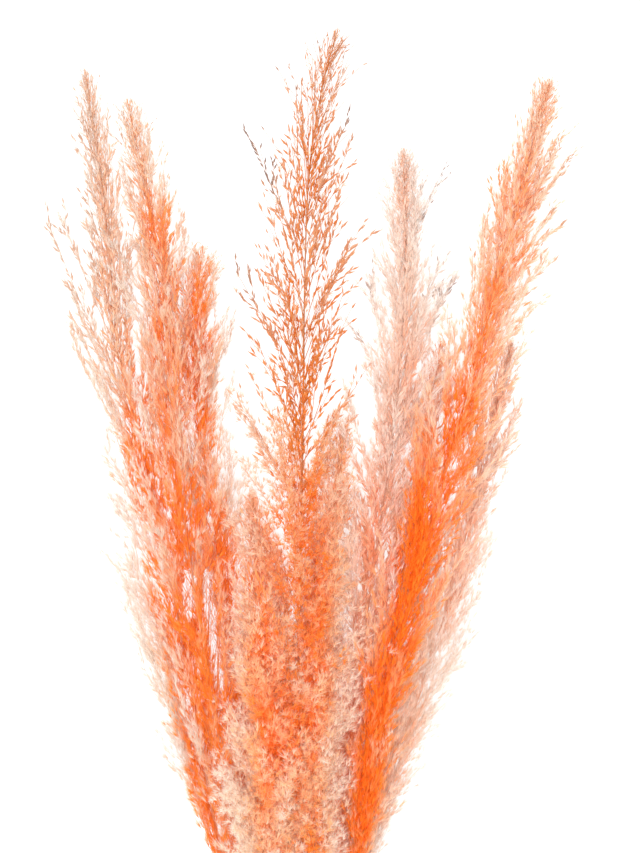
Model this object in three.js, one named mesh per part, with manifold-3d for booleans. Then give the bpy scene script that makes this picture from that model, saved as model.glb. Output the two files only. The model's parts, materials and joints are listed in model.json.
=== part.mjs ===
// A tied bundle of ten dried, dyed pampas grass stalks, lying on a flat surface as a cut bunch does.
// Millimetres, +Z up. The heads point along +Y and the cut ends along -Y. The stalks are laid out
// about the tie, with the surface at z = 0, and the group is then moved so that the origin is the
// middle of the bundle's footprint.
import * as THREE from "three";
import { mergeVertices } from "three/addons/utils/BufferGeometryUtils.js";
import Module from "manifold-3d";

const wasm = await Module();
wasm.setup();

// Driving dimensions
const CUT_LENGTH = 250; // canes below the tie
const CUT_UNEVEN = 16; // how far the cut ends miss that length, each way
const CUT_SPREAD = 2.6; // canes stand this many times further apart at the cut ends than at the tie
const CANE_RADIUS_CUT = 2.9;
const CANE_RADIUS_TIE = 2.7;
const CANE_RADIUS_TOP = 2.1; // where the head begins
const CANE_SIDES = 8;
const NODE_SWELL = 1.2; // a cane's joints are this much thicker than the cane
const NODE_LENGTH = 6;
const RACHIS_RADIUS = 1.3; // the stem inside the head, near its tip
const JOIN_GAP = 0.3; // between a cane and the head it carries
const PACK_PITCH = 2 * CANE_RADIUS_TIE + 0.3; // canes side by side in the tie
const PACK_ROW = PACK_PITCH * Math.sin(Math.PI / 3); // height between rows in the tie
const TWINE = 2.3; // twine thickness
const TWINE_TURNS = 4;
const TIE_INNER_X = 1.5 * PACK_PITCH + CANE_RADIUS_TIE + 0.65; // inside of the winding, half width
const TIE_INNER_Z = PACK_ROW + CANE_RADIUS_TIE + 2.05; // and half height
const TIE_FLAT = 0.8; // how much of the winding is pressed flat by the surface below
const TIE_SEGMENTS = 20;
const STRAIGHT_IN_TIE = 7; // canes run straight this far each side of the tie's middle
const CORE_RINGS = 11;
const CORE_SIDES = 6;
const BLADE_HALF_THICK = 1.9;
const SPRIG_HALF_WIDTH = 4.5;
const FLUFF_ENDS = 3; // the sprays' soft ends reach this far past the head's width
const CLEAR = 2.2; // room kept between one stalk's sprays and the next stalk's
const FLOOR_CLEAR = 0.5; // sprays of the heads that don't carry the bundle stay this far up
const GOLDEN_ANGLE = Math.PI * (3 - Math.sqrt(5));

const TIE_HEIGHT = TIE_INNER_Z + TWINE - TIE_FLAT; // middle of the tie above the surface

// Each stalk: its place in the tie (columns and rows from the middle); the head's half width, how far
// along it is widest, its width at the base as a share of that, how slowly it narrows towards the tip and
// its thickness as a share of its width; how many sprays it carries, how far they run along the head,
// their half width, and how full its core is below and above the middle, as a share of the width; the
// line of its head from base to tip [x, y, z]; and its few long single sprigs, each as the share of the
// head where it starts, its direction in degrees (0 is right, 180 left), its run and its reach.
const STALKS = {
  left_outer: {
    seat: [-1, -1], rests: true, width: 40, widest: 0.42, low: 0.15, taper: 0.9, flat: 0.7,
    sprays: 68, run: 88, blade: 8, full: [0.27, 0.2],
    head: [
      [-57, 196, 20], [-88, 368, 23], [-121, 536, 24], [-148, 656, 24], [-160, 770, 22], [-176, 876, 12],
    ],
    sprigs: [[0.6, 180, 150, 42], [0.66, 200, 120, 38], [0.52, 170, 110, 36], [0.56, 160, 130, 40]],
  },
  left_middle: {
    seat: [-1.5, 0], width: 36, widest: 0.5, low: 0.32, taper: 0.65, flat: 0.75,
    sprays: 72, run: 80, blade: 7.5, full: [0.28, 0.22],
    head: [
      [-45, 188, 36], [-57, 288, 50], [-70, 368, 54], [-84, 448, 54], [-102, 584, 50], [-112, 700, 38],
      [-124, 770, 26], [-142, 852, 14],
    ],
    sprigs: [[0.7, 10, 80, 24]],
  },
  left_inner: {
    seat: [-0.5, 0], width: 25, widest: 0.75, low: 0.5, taper: 0.55, flat: 0.85,
    sprays: 58, run: 72, blade: 7.5, full: [0.28, 0.22],
    head: [
      [-32, 180, 22], [-38, 260, 25], [-50, 376, 28], [-66, 480, 28], [-82, 590, 27], [-85, 680, 26],
      [-80, 732, 22],
    ],
    sprigs: [[0.72, 0, 90, 28], [0.5, 10, 80, 26]],
  },
  centre_tall: {
    seat: [0, 1], width: 46, widest: 0.45, low: 0.45, taper: 0.6, flat: 0.75,
    sprays: 110, run: 84, blade: 5.5, full: [0.28, 0.05],
    head: [
      [-4, 168, 40], [-7, 260, 52], [-4, 388, 62], [-1, 508, 60], [1, 600, 49], [2, 704, 36], [6, 796, 27],
      [16, 860, 19], [29, 909, 12],
    ],
    sprigs: [
      [0.6, 180, 95, 55], [0.74, 175, 90, 46], [0.47, 185, 90, 50], [0.66, 0, 80, 38], [0.8, 10, 70, 26],
    ],
  },
  centre_front: {
    seat: [-1, 1], width: 36, widest: 0.35, low: 0.7, taper: 1, flat: 0.8,
    sprays: 60, run: 64, blade: 7, full: [0.27, 0.2],
    head: [[-20, 176, 52], [-26, 248, 66], [-27, 352, 70], [-32, 450, 58], [-40, 536, 43]],
    sprigs: [[0.72, 180, 90, 22]],
  },
  centre_right: {
    seat: [0.5, 0], width: 31, widest: 0.4, low: 0.7, taper: 1, flat: 0.85,
    sprays: 56, run: 66, blade: 7, full: [0.27, 0.2],
    head: [[6, 172, 44], [6, 248, 60], [10, 352, 65], [21, 480, 53], [34, 588, 40]],
    sprigs: [[0.54, 0, 40, 45], [0.5, 8, 36, 40]],
  },
  pale: {
    seat: [0, -1], rests: true, width: 42, widest: 0.55, low: 0.45, taper: 0.75, flat: 0.75,
    sprays: 70, run: 84, blade: 8, full: [0.28, 0.2],
    head: [
      [12, 184, 20], [21, 260, 26], [42, 376, 32], [61, 500, 34], [78, 632, 34], [83, 728, 28], [82, 812, 14],
    ],
    sprigs: [[0.86, 0, 85, 30], [0.62, 0, 70, 40], [0.5, 0, 80, 44]],
  },
  right_tall: {
    seat: [1, 1], width: 35, widest: 0.65, low: 0.38, taper: 0.6, flat: 0.75,
    sprays: 76, run: 84, blade: 7.5, full: [0.28, 0.22],
    head: [
      [36, 188, 38], [46, 256, 52], [61, 360, 60], [85, 448, 60], [108, 536, 57], [134, 624, 49],
      [156, 704, 39], [176, 780, 28], [200, 868, 14],
    ],
    sprigs: [[0.8, 0, 85, 32], [0.74, 5, 80, 30], [0.62, -5, 85, 34], [0.45, 0, 80, 40]],
  },
  right_inner: {
    seat: [1, -1], width: 26, widest: 0.5, low: 0.45, taper: 0.8, flat: 0.78,
    sprays: 52, run: 72, blade: 7.5, full: [0.28, 0.22],
    head: [
      [30, 186, 15], [38, 256, 18], [55, 352, 24], [80, 464, 26], [98, 560, 22], [107, 615, 19],
      [112, 656, 14],
    ],
    sprigs: [[0.6, 180, 80, 30]],
  },
  right_outer: {
    seat: [1.5, 0], rests: true, width: 23, widest: 0.5, low: 0.38, taper: 0.8, flat: 0.9,
    sprays: 50, run: 72, blade: 7, full: [0.28, 0.2],
    head: [
      [44, 190, 22], [56, 256, 23], [78, 328, 23], [104, 400, 22], [129, 490, 21], [150, 580, 19],
      [170, 656, 12],
    ],
    sprigs: [[0.7, 0, 90, 20], [0.5, 10, 80, 22]],
  },
};

const ORANGE = 0xf08a55;
const PALE = 0xe9cdbd;
const CANE_COLOUR = 0xd9a06b;
const TWINE_COLOUR = 0xb08d5f;

const rise = (t) => t * t * (3 - 2 * t);
const mix = THREE.MathUtils.lerp;

function randomFrom(seed) {
  let state = seed;
  return () => {
    state = (state + 0x6d2b79f5) | 0;
    let t = Math.imul(state ^ (state >>> 15), 1 | state);
    t = (t + Math.imul(t ^ (t >>> 7), 61 | t)) ^ t;
    return ((t ^ (t >>> 14)) >>> 0) / 4294967296;
  };
}

// A closed geometry as a solid that faces out, and a solid as a geometry.
function solidOf(geometry) {
  const bare = new THREE.BufferGeometry().setAttribute("position", geometry.getAttribute("position"));
  bare.setIndex(geometry.index);
  const merged = mergeVertices(bare, 1e-4);
  const vertProperties = new Float32Array(merged.getAttribute("position").array);
  const solidWith = (order) => {
    const triVerts = [];
    for (let i = 0; i < merged.index.count; i += 3) {
      const [a, b, c] = order.map((k) => merged.index.getX(i + k));
      if (a !== b && b !== c && c !== a) triVerts.push(a, b, c);
    }
    const mesh = new wasm.Mesh({ numProp: 3, vertProperties, triVerts: new Uint32Array(triVerts) });
    return new wasm.Manifold(mesh);
  };
  const solid = solidWith([0, 1, 2]);
  return solid.volume() > 0 ? solid : solidWith([0, 2, 1]);
}

function solidFrom(corners, faces) {
  const geometry = new THREE.BufferGeometry();
  geometry.setAttribute("position", new THREE.Float32BufferAttribute(corners, 3));
  geometry.setIndex(faces);
  return solidOf(geometry);
}

function geometryOf(solid) {
  const mesh = solid.getMesh();
  const geometry = new THREE.BufferGeometry();
  geometry.setAttribute("position", new THREE.BufferAttribute(new Float32Array(mesh.vertProperties), 3));
  geometry.setIndex(new THREE.BufferAttribute(new Uint32Array(mesh.triVerts), 1));
  geometry.computeVertexNormals();
  return geometry;
}

// The line of a whole stalk, from the cut end through the tie to the tip of the head.
class StalkLine {
  constructor(stalk, cutMiss) {
    const [column, row] = stalk.seat;
    const x = column * PACK_PITCH;
    const z = TIE_HEIGHT + row * PACK_ROW;
    const cutHeight = CANE_RADIUS_CUT + FLOOR_CLEAR + (row + 1) * PACK_ROW;
    const points = [
      [x * CUT_SPREAD, -CUT_LENGTH + cutMiss, cutHeight],
      [x * mix(1, CUT_SPREAD, 0.42), -CUT_LENGTH / 2, mix(z, cutHeight, 0.5)],
      [x, -STRAIGHT_IN_TIE, z],
      [x, 0, z],
      [x, STRAIGHT_IN_TIE, z],
      ...stalk.head,
    ];
    this.curve = new THREE.CatmullRomCurve3(points.map((p) => new THREE.Vector3(...p)), false, "centripetal");
    this.curve.arcLengthDivisions = 400;
    this.length = this.curve.getLength();
    this.samples = this.curve.getSpacedPoints(160);
    this.tieAt = this.distanceAt(0);
    this.baseAt = this.distanceAt(stalk.head[0][1]);
    this.headLength = this.length - this.baseAt;
  }

  // Distance from the cut end to where the line passes y.
  distanceAt(y) {
    let [low, high] = [0, 1];
    for (let step = 0; step < 30; step++) {
      const middle = (low + high) / 2;
      if (this.curve.getPointAt(middle).y < y) low = middle;
      else high = middle;
    }
    return low * this.length;
  }

  // Middle, forward, sideways and upward directions at a distance from the cut end.
  frame(distance) {
    const u = THREE.MathUtils.clamp(distance / this.length, 0, 1);
    const middle = this.curve.getPointAt(u);
    const forward = this.curve.getTangentAt(u);
    const side = new THREE.Vector3().crossVectors(forward, new THREE.Vector3(0, 0, 1)).normalize();
    return { middle, forward, side, up: new THREE.Vector3().crossVectors(side, forward) };
  }

  // Bends a straight geometry, which stands along +Y from 0, onto the line from a starting distance.
  bend(geometry, start) {
    const position = geometry.getAttribute("position");
    for (let i = 0; i < position.count; i++) {
      const at = this.frame(start + position.getY(i));
      const p = at.middle.addScaledVector(at.side, position.getX(i)).addScaledVector(at.up, position.getZ(i));
      position.setXYZ(i, p.x, p.y, p.z);
    }
    return geometry;
  }

  // Distance to the line, and whether the nearest stretch is head or cane.
  nearest(p) {
    let best = Infinity;
    let at = 0;
    const closest = new THREE.Vector3();
    const stretch = new THREE.Line3();
    for (let i = 0; i + 1 < this.samples.length; i++) {
      if (Math.abs(this.samples[i].y - p.y) > 60) continue;
      stretch.set(this.samples[i], this.samples[i + 1]).closestPointToPoint(p, true, closest);
      const d = closest.distanceTo(p);
      if (d < best) [best, at] = [d, i];
    }
    return { distance: best, inHead: (at / 160) * this.length > this.baseAt };
  }
}

// Half width of a head, as far as its spray tips reach, at a share t of its length.
function reachAt(stalk, t) {
  const { widest, width, low, taper } = stalk;
  if (t < widest) return width * mix(low, 1, rise(t / widest)) + FLUFF_ENDS;
  const u = Math.min(1, (t - widest) / (1 - widest));
  return width * Math.pow(1 - u * u, taper) + FLUFF_ENDS;
}

// Half width of the core of short fluff about the stem.
function coreAt(stalk, t) {
  const [below, above] = stalk.full;
  const full = mix(below, above, rise(THREE.MathUtils.clamp((t - 0.35) / 0.25, 0, 1)));
  const fading = 1 - rise(Math.max(0, 1.7 * t - 0.7));
  return mix(CANE_RADIUS_TOP, RACHIS_RADIUS, t) + full * reachAt(stalk, t) * fading;
}

// A cane: a tapering rod with swollen joints, from its cut end to the head.
function cane(line, random) {
  const length = line.baseAt - JOIN_GAP;
  const { tieAt } = line;
  const joints = [0.22 + 0.1 * random(), 0.78 + 0.06 * random()].map((share) => share * length);
  const radiusAt = (y) =>
    y < tieAt
      ? mix(CANE_RADIUS_CUT, CANE_RADIUS_TIE, y / tieAt)
      : mix(CANE_RADIUS_TIE, CANE_RADIUS_TOP, (y - tieAt) / (length - tieAt));
  const rings = [0, length, tieAt - STRAIGHT_IN_TIE, tieAt, tieAt + STRAIGHT_IN_TIE];
  for (const share of [0.33, 0.66]) rings.push(share * tieAt);
  for (const share of [0.25, 0.5, 0.75]) rings.push(mix(tieAt, length, share));
  const heights = rings
    .filter((y) => joints.every((j) => Math.abs(y - j) > NODE_LENGTH * 1.5))
    .map((y) => [y, 1]);
  for (const j of joints) heights.push([j - NODE_LENGTH / 2, 1], [j, NODE_SWELL], [j + NODE_LENGTH / 2, 1]);
  heights.sort((a, b) => a[0] - b[0]);
  const profile = heights.map(([y, swell]) => new THREE.Vector2(radiusAt(y) * swell, y));
  profile.unshift(new THREE.Vector2(0, 0));
  profile.push(new THREE.Vector2(0, length));
  return line.bend(new THREE.LatheGeometry(profile, CANE_SIDES), 0);
}

// Moves a point towards its own stalk's line until it is nearer that line than any other and off the floor.
function keptClear(p, own, line, others, floor) {
  for (let step = 0; step < 24; step++) {
    const distance = line.nearest(p).distance;
    const crowded = others.some((other) => {
      const near = other.nearest(p);
      const room = near.inHead ? distance : CANE_RADIUS_CUT * NODE_SWELL;
      return near.distance < room + CLEAR;
    });
    if (!crowded) break;
    p.lerp(own, 0.12);
  }
  p.z = Math.max(p.z, floor);
  return p;
}

// A point of a head: out from the line by a distance in a direction round it, and sideways along the skin.
function pointOf(stalk, line, others, distance, angle, outward, sideways = 0) {
  const at = line.frame(distance);
  const across = new THREE.Vector3().addScaledVector(at.side, Math.cos(angle));
  across.addScaledVector(at.up, Math.sin(angle) * stalk.flat);
  const turned = new THREE.Vector3().crossVectors(at.forward, across).normalize();
  const p = at.middle.clone().addScaledVector(across, outward).addScaledVector(turned, sideways);
  return keptClear(p, at.middle, line, others, stalk.rests ? 0 : FLOOR_CLEAR);
}

const alongHead = (line, distance) => THREE.MathUtils.clamp((distance - line.baseAt) / line.headLength, 0, 1);

// The stem inside the head with its core of short fluff.
function core(stalk, line, others) {
  const corners = [...line.frame(line.baseAt + JOIN_GAP).middle];
  const faces = [];
  for (let i = 0; i < CORE_RINGS; i++) {
    const distance = mix(line.baseAt + JOIN_GAP, line.length, i / CORE_RINGS);
    for (let j = 0; j < CORE_SIDES; j++) {
      const outward = i ? coreAt(stalk, i / CORE_RINGS) : CANE_RADIUS_TOP;
      const p = pointOf(stalk, line, others, distance, (j / CORE_SIDES) * 2 * Math.PI, outward);
      corners.push(...p);
      const [a, b] = [1 + i * CORE_SIDES + j, 1 + i * CORE_SIDES + ((j + 1) % CORE_SIDES)];
      if (i === 0) faces.push(0, a, b);
      if (i + 1 < CORE_RINGS) faces.push(a, a + CORE_SIDES, b, b, a + CORE_SIDES, b + CORE_SIDES);
      else faces.push(a, 1 + CORE_RINGS * CORE_SIDES, b);
    }
  }
  corners.push(...line.frame(line.length).middle);
  return solidFrom(corners, faces);
}

// One feathery spray: a slender four-sided blade, its root in the core, its tip bent up along the head.
// outwardAt gives its reach from the stem at a distance along it.
function spray(stalk, line, others, { t, along, angle, half, lean, outwardAt }) {
  const root = line.baseAt + t * line.headLength;
  const point = (distance, outward, sideways) =>
    pointOf(stalk, line, others, distance, angle, outward, sideways);
  const middle = root + along * 0.56;
  const belly = mix(coreAt(stalk, alongHead(line, middle)), outwardAt(middle), 0.6);
  const ring = [[0, half], [BLADE_HALF_THICK, 0], [0, -half], [-BLADE_HALF_THICK, 0]].map(([more, across]) =>
    point(middle, belly + more + across * Math.sin(lean), across * Math.cos(lean)),
  );
  if (ring[1].distanceTo(ring[3]) < 1.2) return null;
  const start = point(root, coreAt(stalk, t) * 0.45, 0);
  const tip = point(root + along, outwardAt(root + along), 0);
  const faces = [];
  for (let i = 0; i < 4; i++) faces.push(0, 1 + i, 1 + ((i + 1) % 4), 5, 1 + ((i + 1) % 4), 1 + i);
  return solidFrom([start, ...ring, tip].flatMap((p) => p.toArray()), faces);
}

// The sprays that cover a head, set round it by the golden angle.
function coveringSpray(stalk, line, index, others, random) {
  const t = Math.pow((index + 0.5) / stalk.sprays, 0.95) * 0.985;
  const left = line.headLength * (1 - t);
  const along = Math.min(stalk.run * (0.75 + 0.5 * random()), left * 0.8 + 8);
  const angle = index * GOLDEN_ANGLE + 0.5 * (random() - 0.5);
  const share = 0.88 + 0.27 * random();
  const half = stalk.blade * Math.min(1, 0.28 + left / 240) * (0.8 + 0.4 * random());
  const lean = 0.7 * (2 * random() - 1);
  const outwardAt = (distance) => reachAt(stalk, alongHead(line, distance)) * share;
  return spray(stalk, line, others, { t, along, angle, half, lean, outwardAt });
}

// A long single sprig that stands out of the head's outline.
function sprig(stalk, line, [t, degrees, run, reach], others) {
  const along = Math.min(run, line.headLength * (1 - t) * 0.9);
  const root = line.baseAt + t * line.headLength;
  const angle = THREE.MathUtils.degToRad(degrees);
  const outwardAt = (distance) => reach * Math.pow((distance - root) / along, 0.9);
  return spray(stalk, line, others, { t, along, angle, half: SPRIG_HALF_WIDTH, lean: 0, outwardAt });
}

// A head: its stem and every spray, joined in one solid.
function head(stalk, line, others, random) {
  const parts = [core(stalk, line, others)];
  for (let i = 0; i < stalk.sprays; i++) parts.push(coveringSpray(stalk, line, i, others, random));
  for (const one of stalk.sprigs) parts.push(sprig(stalk, line, one, others));
  const joined = wasm.Manifold.union(parts.filter(Boolean)).simplify(0.08);
  return joined.decompose().sort((a, b) => b.volume() - a.volume())[0];
}

// The twine: turns side by side round the canes, pressed flat below, with a knot on top.
function tie() {
  const half = (TWINE_TURNS * TWINE) / 2;
  const profile = [[0, half], [0, -half]];
  for (let turn = 0; turn < TWINE_TURNS; turn++) {
    const y = -half + turn * TWINE;
    if (turn > 0) profile.push([TWINE * 0.74, y]);
    profile.push([TWINE, y + TWINE * 0.3], [TWINE, y + TWINE * 0.7]);
  }
  const corners = [];
  for (let i = 0; i < TIE_SEGMENTS; i++) {
    const a = ((i + 0.5) / TIE_SEGMENTS) * 2 * Math.PI;
    for (const [r, y] of profile)
      corners.push((TIE_INNER_X + r) * Math.cos(a), y, TIE_HEIGHT + (TIE_INNER_Z + r) * Math.sin(a));
  }
  const n = profile.length;
  const faces = [];
  for (let i = 0; i < TIE_SEGMENTS; i++)
    for (let j = 0; j < n; j++) {
      const [a, b] = [i * n + j, i * n + ((j + 1) % n)];
      const next = ((i + 1) % TIE_SEGMENTS) * n - i * n;
      faces.push(a, b, b + next, a, b + next, a + next);
    }
  const top = TIE_HEIGHT + TIE_INNER_Z + TWINE;
  const knot = new THREE.SphereGeometry(1, 8, 5).scale(TWINE * 1.5, TWINE * 1.35, TWINE * 1.05);
  knot.rotateX(Math.PI / 2).translate(0, 0, top + TWINE * 0.25);
  const ends = [-1, 1].map((way) => {
    const along = new THREE.CatmullRomCurve3([
      new THREE.Vector3(0, way * 0.5, top + 0.4),
      new THREE.Vector3(way * 6, way * 1.4, top + 0.3),
      new THREE.Vector3(way * 13, way * 3.2, top - 4),
    ]);
    const section = new THREE.Shape().absarc(0, 0, TWINE / 2, 0, 2 * Math.PI);
    return solidOf(new THREE.ExtrudeGeometry(section, { steps: 4, extrudePath: along, curveSegments: 3 }));
  });
  const pressed = wasm.Manifold.union([solidFrom(corners, faces), solidOf(knot), ...ends]);
  return pressed.trimByPlane([0, 0, 1], 0).simplify(0.01);
}

function mesh(name, solid, colour, roughness) {
  const material = new THREE.MeshStandardMaterial({ color: colour, roughness, metalness: 0 });
  const made = new THREE.Mesh(geometryOf(solid), material);
  made.name = name;
  return made;
}

const bundle = new THREE.Group();
const names = Object.keys(STALKS);
const lines = Object.fromEntries(
  names.map((name, i) => {
    const random = randomFrom(101 + i);
    return [name, new StalkLine(STALKS[name], CUT_UNEVEN * (2 * random() - 1))];
  }),
);
names.forEach((name, i) => {
  const random = randomFrom(500 + i);
  const line = lines[name];
  const others = names.filter((other) => other !== name).map((other) => lines[other]);
  const colour = name === "pale" ? PALE : ORANGE;
  bundle.add(mesh("cane_" + name, solidOf(cane(line, random)), CANE_COLOUR, 0.6));
  bundle.add(mesh("plume_" + name, head(STALKS[name], line, others, random), colour, 0.95));
});
bundle.add(mesh("twine_tie", tie(), TWINE_COLOUR, 0.9));

// The origin goes to the middle of the footprint, on the surface.
const box = new THREE.Box3().setFromObject(bundle);
const centre = box.getCenter(new THREE.Vector3());
bundle.position.set(-centre.x, -centre.y, -box.min.z);

export default bundle;
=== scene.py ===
# A tied bundle of dried, dyed pampas grass lying on a pale floor, seen from above.
# Metres. The stalks are laid out about the tie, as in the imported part, with the floor at z = 0.
import json
import math
import random

import bpy
import numpy as np
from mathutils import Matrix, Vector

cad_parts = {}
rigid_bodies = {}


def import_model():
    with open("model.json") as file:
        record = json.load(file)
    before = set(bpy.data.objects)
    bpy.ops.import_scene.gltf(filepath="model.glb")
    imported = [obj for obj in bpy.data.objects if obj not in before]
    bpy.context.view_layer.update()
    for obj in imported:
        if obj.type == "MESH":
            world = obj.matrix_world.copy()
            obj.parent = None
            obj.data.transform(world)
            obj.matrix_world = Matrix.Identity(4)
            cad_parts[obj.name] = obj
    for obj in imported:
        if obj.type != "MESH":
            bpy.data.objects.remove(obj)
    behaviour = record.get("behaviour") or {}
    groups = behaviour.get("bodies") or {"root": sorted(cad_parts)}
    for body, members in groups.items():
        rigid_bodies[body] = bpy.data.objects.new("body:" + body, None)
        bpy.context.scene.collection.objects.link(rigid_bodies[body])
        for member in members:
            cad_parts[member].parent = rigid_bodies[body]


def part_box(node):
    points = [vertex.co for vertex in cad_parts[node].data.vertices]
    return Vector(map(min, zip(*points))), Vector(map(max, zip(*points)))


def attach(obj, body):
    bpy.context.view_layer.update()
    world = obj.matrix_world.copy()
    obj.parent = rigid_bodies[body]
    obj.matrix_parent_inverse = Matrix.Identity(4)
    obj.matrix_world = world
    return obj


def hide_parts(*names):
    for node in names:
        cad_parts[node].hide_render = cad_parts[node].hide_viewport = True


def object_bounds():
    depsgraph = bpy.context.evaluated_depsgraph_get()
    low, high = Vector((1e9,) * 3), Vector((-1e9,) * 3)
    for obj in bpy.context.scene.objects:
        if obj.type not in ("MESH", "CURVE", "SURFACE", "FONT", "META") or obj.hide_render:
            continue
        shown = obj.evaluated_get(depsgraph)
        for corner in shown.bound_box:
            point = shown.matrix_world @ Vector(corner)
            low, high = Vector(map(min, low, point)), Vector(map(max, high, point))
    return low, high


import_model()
cad_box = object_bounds()

# Driving dimensions of the canes and the tie, the same as the part's
CUT_LENGTH = 0.250
CUT_UNEVEN = 0.016
CUT_SPREAD = 2.6
HALFWAY_SPREAD = 0.42
CANE_RADIUS_CUT = 0.0029
CANE_RADIUS_TIE = 0.0027
CANE_RADIUS_TOP = 0.0021
RACHIS_RADIUS_TIP = 0.0005
HEAD_TIP = 0.0008
FLOOR_CLEAR = 0.0005
TWINE = 0.0023
TWINE_TURNS = 4
PACK_PITCH = 2 * CANE_RADIUS_TIE + 0.0003
PACK_ROW = PACK_PITCH * math.sin(math.pi / 3)
TIE_INNER_X = 1.5 * PACK_PITCH + CANE_RADIUS_TIE + 0.00065
TIE_INNER_Z = PACK_ROW + CANE_RADIUS_TIE + 0.00205
TIE_FLAT = 0.0008
TIE_HEIGHT = TIE_INNER_Z + TWINE - TIE_FLAT
STRAIGHT_IN_TIE = 0.007
GOLDEN_ANGLE = math.pi * (3 - math.sqrt(5))

# The tie's middle is the middle of the layout
MIDDLE = np.mean(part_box("twine_tie"), axis=0) * (1, 1, 0)

# Camera: straight above what the photograph shows of the bundle
VIEW_X, VIEW_Y = 0.0144, 0.5868
VIEW_TALL = 0.6824
VIEW_LEVEL = 0.035
CAMERA_HEIGHT = 2.0
SENSOR = 36

# Light: an even sky, a wide lamp beside the bundle and a soft sun straight above it, over a pale floor
# that glows; and how many times light is followed on
SKY = (1.0, 0.995, 0.99, 1)
SKY_STRENGTH = 0.68
LAMP_SIZE, LAMP_POWER = 2.0, 28
LAMP_PLACE, LAMP_TURN = (-1.2, 1.0, 2.2), (-18, -28, 0)
SUN_STRENGTH, SUN_WIDTH, SUN_HEIGHT = 3.05, 40, 3.0
FLOOR_REACH = 4.0
FLOOR_GREY, FLOOR_GLOW = (0.20, 0.20, 0.20, 1), 0.92
BOUNCES = 24

# Strands of a plume: points on each, how thick they are, the lowest and highest that they go, and the
# lowest that a hair or a fibre goes
STEM_POINTS = 60
BRANCH_POINTS = 6
TWIG_POINTS = 3
BRANCH_THICK = (0.00040, 0.00020)
TWIG_THICK = 0.00018
BRANCH_CLEAR = 0.004
BRANCH_TOP = cad_box[1][2] - 0.003
LOWEST = 0.0003

# Branches: where the last one starts, how they crowd towards the base, how far they stray in run and in
# turn, how much of the room left they take, how far out they reach as shares of the head's width, and
# how they sway and bow
LAST_BRANCH = 0.985
USUAL_CROWD = 1.05
RUN_STRAY = (0.7, 1.3)
TURN_STRAY = 0.4
RUN_ROOM = (0.6, 0.95)
REACH_SHARES, REACH_CROWD = (0.2, 1.08), 0.42
SWAY = 0.3
BOW = (0.8, 1.25)

# Twigs: how many on a long and on a short branch, where along it, their length, tilt and bend
LONG_BRANCH, LONG_TWIGS, SHORT_TWIGS = 0.04, 7, 5
TWIG_START, TWIG_SPAN = 0.10, 0.88
TWIG_LENGTH = (0.012, 0.028)
TWIG_ROOM, TWIG_LEAST = 0.6, 0.002
TWIG_TILT = (0.15, 0.55)
TWIG_BEND = 0.8

# Single long sprigs: how much closer their tufts stand, and how much less dye they took
SPRIG_CROWD = 1.7
SPRIG_DYED = 0.35

# Fullness of the slimmest part of a head, how fast it grows with width, and the bare foot of a branch
SLIM_FULL, SLIM_GAIN = 0.4, 1.3
FOOT_BARE, FOOT_SPAN = 0.15, 0.3

# Dye depth: what is left of it in a branch that faces the eye, how far out the strong dye reaches, the
# soft edge of a band, how the dye fades and the tufts shrink towards the tip, and a twig's own fading
FACING_DEPTH, SIDE_DEPTH = 0.35, 0.65
DYE_REACH = 1.15
BAND_EDGE = 0.08
TIP_FADE, FADE_START, FADE_SPAN = 0.25, 0.45, 0.4
TIP_SIZE, SHRINK_START, SHRINK_SPAN = 0.5, 0.82, 0.18
STEM_DEPTH = 0.3
TWIG_FADE = 0.12
TWIG_SHADE = 0.2

# Tufts: how many sorts of each kind, how they vary, and where a spikelet is widest
TUFT_SORTS = 5
TUFT_SIZES = (0.7, 1.25)
SPIKELET_STRAY = (0.85, 1.15)
SPIKELET_WIDEST = 0.42
HAIR_STRAY = (0.75, 1.2)
HAIR_FOOT = 0.0015
SPREAD_STRAY = (0.3, 1.0)
LEAN_STRAY = (0.2, 1.2)

# What chance decides about each tuft, with draws of its own for each purpose
CHANCES = ("lean", "spin", "size", "pick", "kind", "bud", "scatter")

# Canes: sides, rings, how far plain rings keep from a joint, and where the joints are and may stray to
CANE_SIDES = 12
CANE_RINGS = 44
JOINT_CLEAR = 0.005
JOINTS = ((0.22, 0.1), (0.78, 0.06))

# Round a cane's joint: distance along it, swelling and darkness
JOINT_PROFILE = ((-0.0045, 1.0, 0.0), (-0.0022, 1.08, 0.15), (-0.0007, 1.19, 0.5), (-0.0002, 1.13, 1.0),
                 (0.0002, 1.12, 0.9), (0.0007, 1.17, 0.4), (0.0022, 1.07, 0.1), (0.0045, 1.0, 0.0))

# A cane's hollow cut end, from inside it: distance along it, share of its radius, darkness and pith
# The darkness at the bottom of the hollow is painted shade, which the pith colour covers
END_PROFILE = ((0.0020, 0.40, 0.6, 1.0), (0.0004, 0.46, 0.0, 1.0), (0.0, 0.52, 0.0, 1.0),
               (0.0, 0.94, 0.0, 1.0), (0.0004, 1.0, 0.0, 0.0))

# Cane colours: straw from dark to light, blots, dye at the top and how much of it, joints and the painted
# shade in the cut end's hollow, and pith
STRAW = ((0.38, 0.23, 0.10, 1), (0.55, 0.39, 0.21, 1))
STRAW_GRAIN = (900.0, 18.0, 900.0)
BLOT, BLOT_SCALE = (0.30, 0.17, 0.075, 1), 45.0
TOP_DYE, TOP_DYED = (0.80, 0.32, 0.11, 1), 0.75
TOP_START, TOP_END = 0.02, 0.19
JOINT_DARK_AND_HOLLOW_SHADE = (0.17, 0.09, 0.04, 1)
PITH = (0.62, 0.52, 0.36, 1)

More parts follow.
